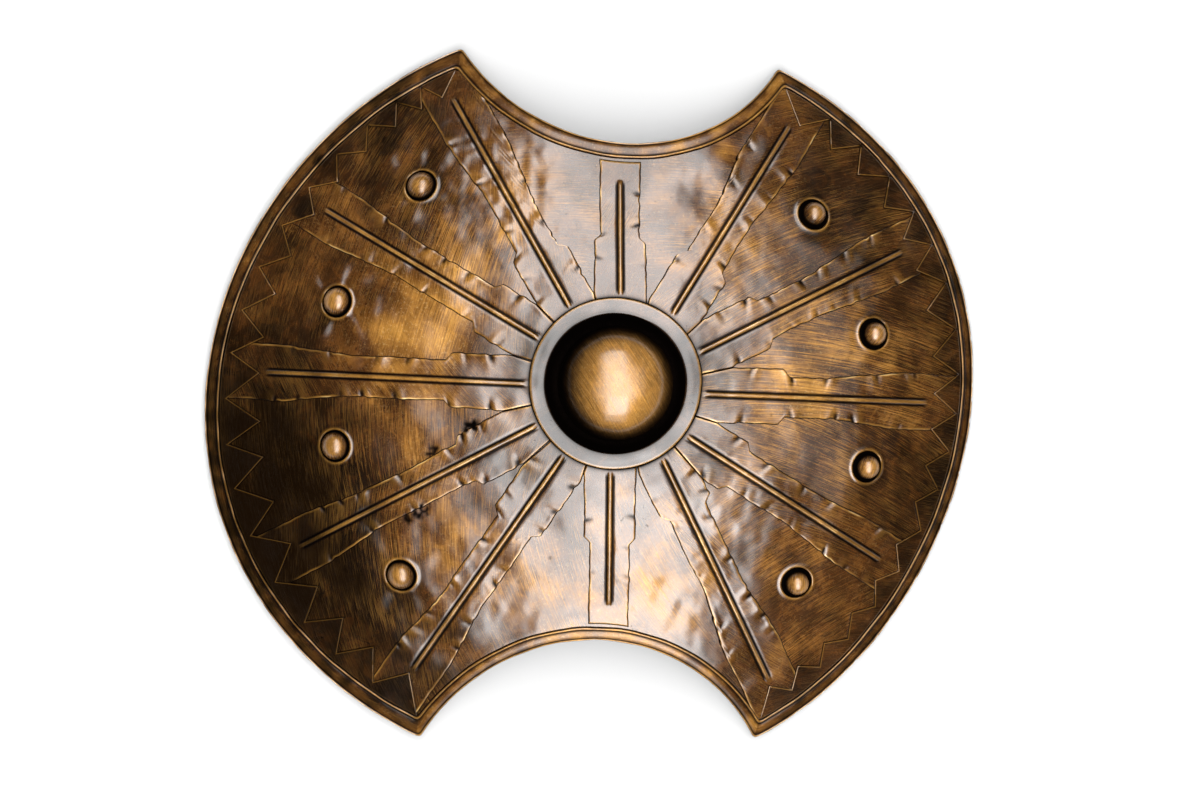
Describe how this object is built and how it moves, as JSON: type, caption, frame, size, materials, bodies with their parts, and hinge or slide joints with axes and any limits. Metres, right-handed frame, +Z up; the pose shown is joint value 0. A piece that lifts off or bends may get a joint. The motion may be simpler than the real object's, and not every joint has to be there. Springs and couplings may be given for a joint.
{
  "type": "round two-notched bronze shield",
  "caption": "Dished round shield with a notch at top and bottom, ribbed radial straps, saw-cut borders, small studs and a domed centre boss; arm band and grip inside.",
  "frame": {"origin": "on the floor under the middle of the shield's bounding box, the shield lying face up on its rim", "axes": "+X towards the picture's right, the long way of the shield; +Y towards the upper notch; +Z up, out of the shield's face"},
  "size_m": [0.7662, 0.69, 0.1318],
  "materials": {
    "shell_bronze": "dark hammered bronze with brushed golden rubs",
    "rim_bronze": "dark bronze with worn bright edges",
    "strap_bronze": "dark bronze strip with a bright rubbed rib",
    "border_bronze": "dark bronze, thin bright cut edges",
    "collar_bronze": "brown bronze with bright worn edges",
    "boss_bronze": "golden brushed bronze, dark in its sunk ring",
    "stud_bronze": "golden rubbed bronze",
    "fitting_bronze": "plain dark bronze, satin"
  },
  "bodies": {
    "root": {"shell": "shell_bronze", "rim": "rim_bronze", "teeth_left": "border_bronze", "teeth_right": "border_bronze", "collar": "collar_bronze", "boss": "boss_bronze", "arm_band": "fitting_bronze", "hand_grip": "fitting_bronze", "strap_top": "strap_bronze", "strap_upper_left": "strap_bronze", "strap_left_high": "strap_bronze", "strap_left": "strap_bronze", "strap_left_low": "strap_bronze", "strap_lower_left": "strap_bronze", "strap_bottom": "strap_bronze", "strap_lower_right": "strap_bronze", "strap_right_low": "strap_bronze", "strap_right": "strap_bronze", "strap_right_high": "strap_bronze", "strap_upper_right": "strap_bronze", "stud_left_1": "stud_bronze", "stud_left_2": "stud_bronze", "stud_left_3": "stud_bronze", "stud_left_4": "stud_bronze", "stud_right_1": "stud_bronze", "stud_right_2": "stud_bronze", "stud_right_3": "stud_bronze", "stud_right_4": "stud_bronze"}
  },
  "joints": []
}
